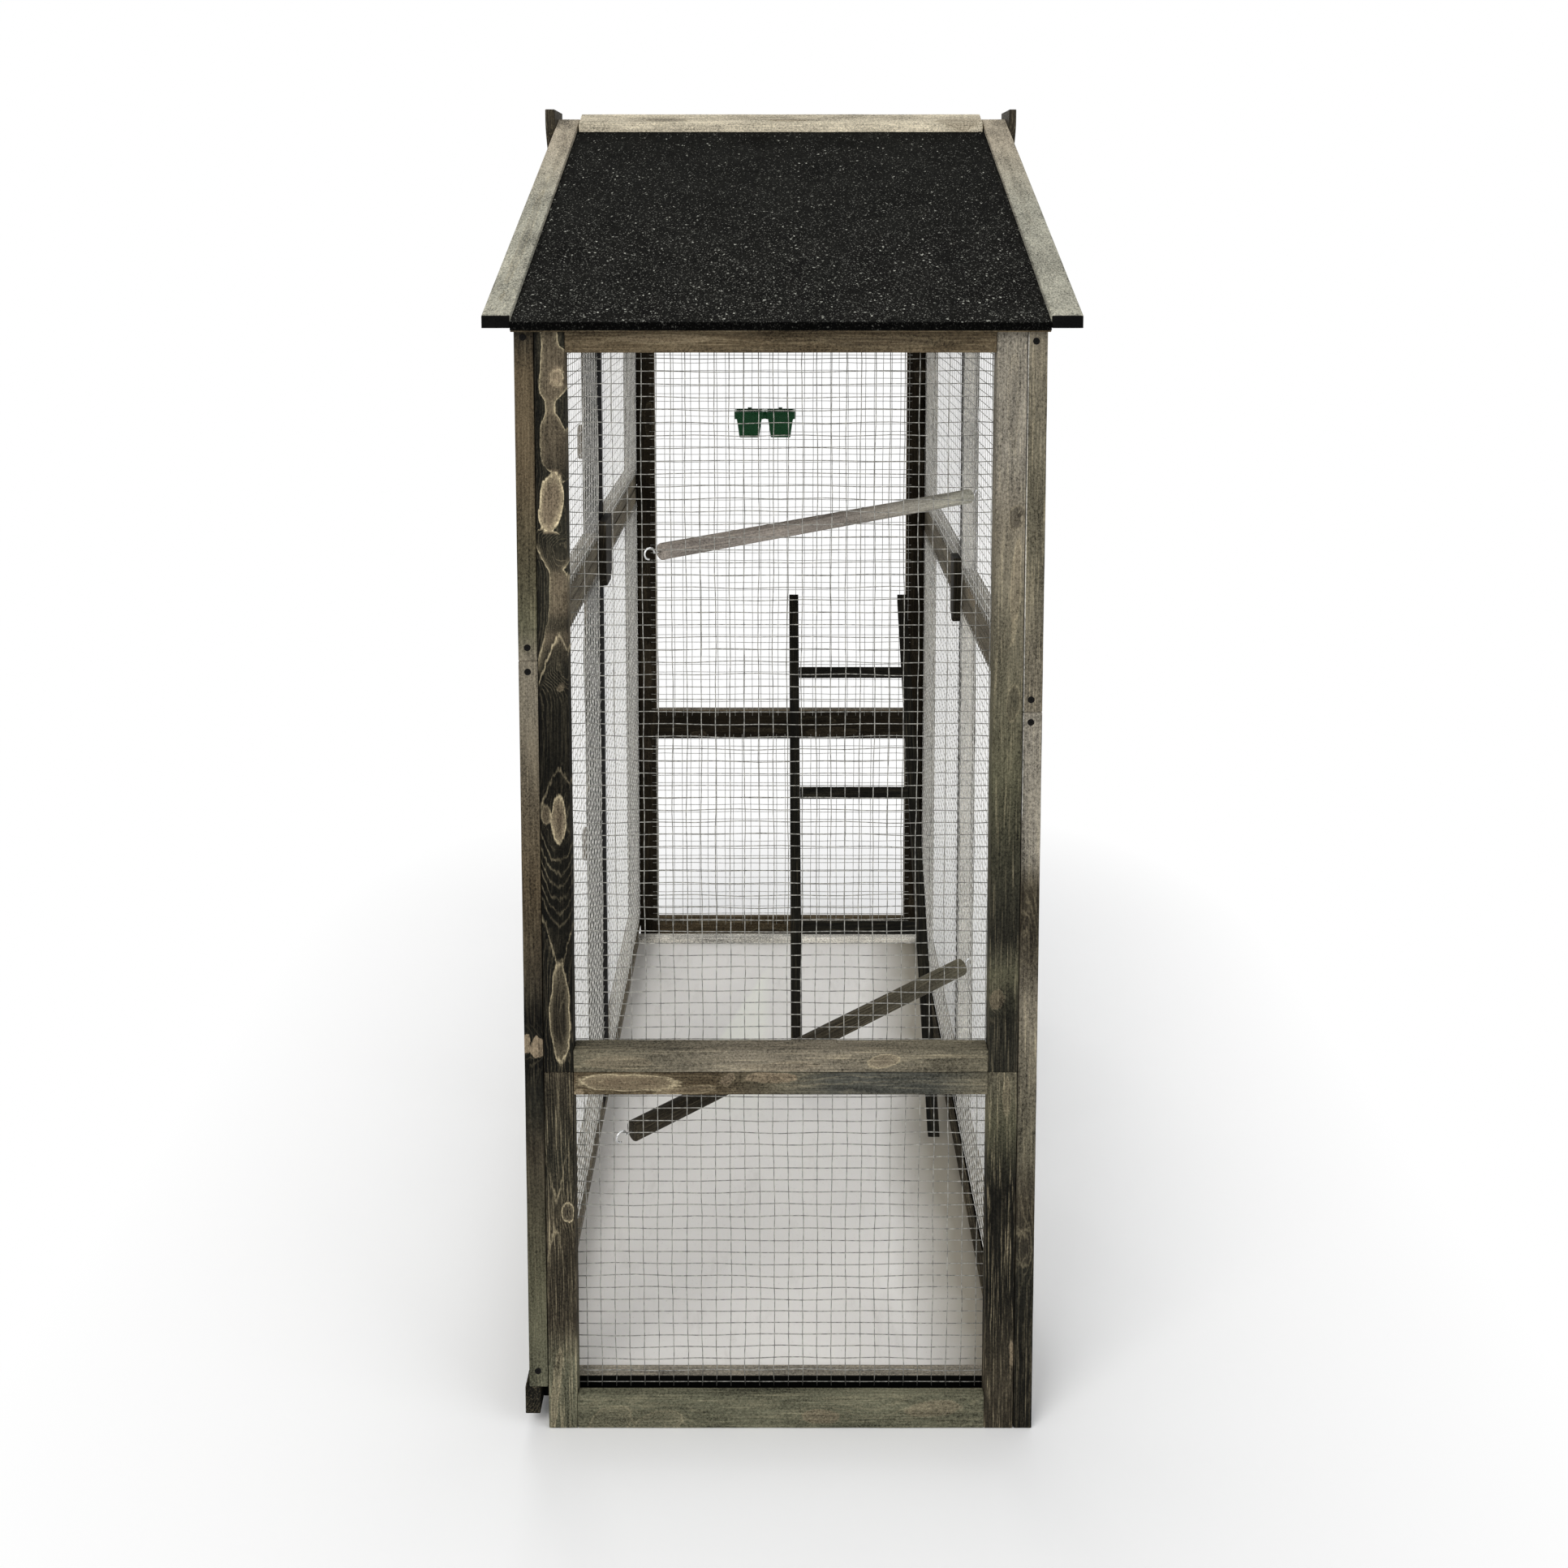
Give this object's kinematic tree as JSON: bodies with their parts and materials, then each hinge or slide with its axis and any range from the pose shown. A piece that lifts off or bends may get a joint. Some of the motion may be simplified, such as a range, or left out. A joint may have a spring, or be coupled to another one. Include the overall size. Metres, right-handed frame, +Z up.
{
  "type": "bird aviary",
  "caption": "Tall garden bird aviary with wire-netted lath walls, a felted gable roof, stacked front doors, a pull-out floor tray, perches, a leaning ladder and a hanging twin feeder.",
  "frame": {"origin": "on the floor under the middle of the house", "axes": "+Z up; the front wall with its doors faces -X; the right end wall, seen by someone facing the front, faces -Y"},
  "size_m": [0.7892, 1.278, 1.8218],
  "materials": {
    "washed_wood": "weathered, grey-brown wash",
    "dark_wood": "dark stained, matt",
    "pale_boards": "weathered, pale and dry",
    "roof_felt": "mineral-grained bitumen felt",
    "wire_mesh": "galvanised, dull",
    "zinc_steel": "zinc plated",
    "feeder_green": "moulded, slightly glossy",
    "tray_white": "coated white board"
  },
  "bodies": {
    "house": {"right_upper_frame": "washed_wood", "right_lower_frame": "washed_wood", "left_upper_frame": "washed_wood", "left_lower_frame": "washed_wood", "back_upper_frame": "washed_wood", "back_lower_frame": "washed_wood", "front_upper_frame": "washed_wood", "front_lower_frame": "washed_wood", "front_gable_board": "washed_wood", "back_gable_board": "washed_wood", "right_upper_net": "wire_mesh", "right_lower_net": "wire_mesh", "left_upper_net": "wire_mesh", "left_lower_net": "wire_mesh", "back_upper_net": "wire_mesh", "back_lower_net": "wire_mesh", "front_upper_net": "wire_mesh", "front_lower_net": "wire_mesh", "roof_right_slope": "roof_felt", "roof_left_slope": "roof_felt", "front_right_verge_board": "pale_boards", "front_left_verge_board": "pale_boards", "back_right_verge_board": "pale_boards", "back_left_verge_board": "pale_boards", "ridge_right_board": "pale_boards", "ridge_left_board": "pale_boards", "front_apex_plate": "dark_wood", "back_apex_plate": "dark_wood", "front_splice_plate": "dark_wood", "back_splice_plate": "dark_wood", "tray_right_runner": "dark_wood", "tray_left_runner": "dark_wood", "upper_perch": "dark_wood", "lower_perch": "dark_wood", "ladder_front_rail": "dark_wood", "ladder_back_rail": "dark_wood", "ladder_rung_1": "dark_wood", "ladder_rung_2": "dark_wood", "ladder_rung_3": "dark_wood", "double_feeder": "feeder_green", "upper_perch_right_hook": "zinc_steel", "upper_perch_back_hook": "zinc_steel", "lower_perch_right_hook": "zinc_steel", "lower_perch_back_hook": "zinc_steel", "lower_door_bottom_hinge_fixed_leaf": "zinc_steel", "lower_door_top_hinge_fixed_leaf": "zinc_steel", "upper_door_bottom_hinge_fixed_leaf": "zinc_steel", "upper_door_top_hinge_fixed_leaf": "zinc_steel"},
    "upper_door": {"upper_door_frame": "washed_wood", "upper_door_net": "wire_mesh", "upper_door_bottom_hinge_door_leaf": "zinc_steel", "upper_door_top_hinge_door_leaf": "zinc_steel"},
    "lower_door": {"lower_door_frame": "washed_wood", "lower_door_net": "wire_mesh", "lower_door_bottom_hinge_door_leaf": "zinc_steel", "lower_door_top_hinge_door_leaf": "zinc_steel"},
    "upper_button": {"upper_turn_button": "dark_wood"},
    "lower_button": {"lower_turn_button": "dark_wood"},
    "tray": {"tray_pan": "tray_white", "tray_front_board": "washed_wood"}
  },
  "joints": [
    {"name": "upper_door_hinge", "type": "hinge", "parent": "house", "child": "upper_door", "pos_m": [-0.3154, 0.6305, 1.2768], "axis": [0, 0, -1], "range_deg": [0, 110]},
    {"name": "lower_door_hinge", "type": "hinge", "parent": "house", "child": "lower_door", "pos_m": [-0.3154, 0.6305, 0.5615], "axis": [0, 0, -1], "range_deg": [0, 110]},
    {"name": "upper_button_pivot", "type": "hinge", "parent": "house", "child": "upper_button", "pos_m": [-0.3446, -0.0195, 1.2768], "axis": [1, 0, 0], "range_deg": [0, 90]},
    {"name": "lower_button_pivot", "type": "hinge", "parent": "house", "child": "lower_button", "pos_m": [-0.3446, -0.0195, 0.5615], "axis": [1, 0, 0], "range_deg": [0, 90]},
    {"name": "tray_slide", "type": "slide", "parent": "house", "child": "tray", "axis": [-1, 0, 0], "range_m": [0, 0.56]}
  ]
}
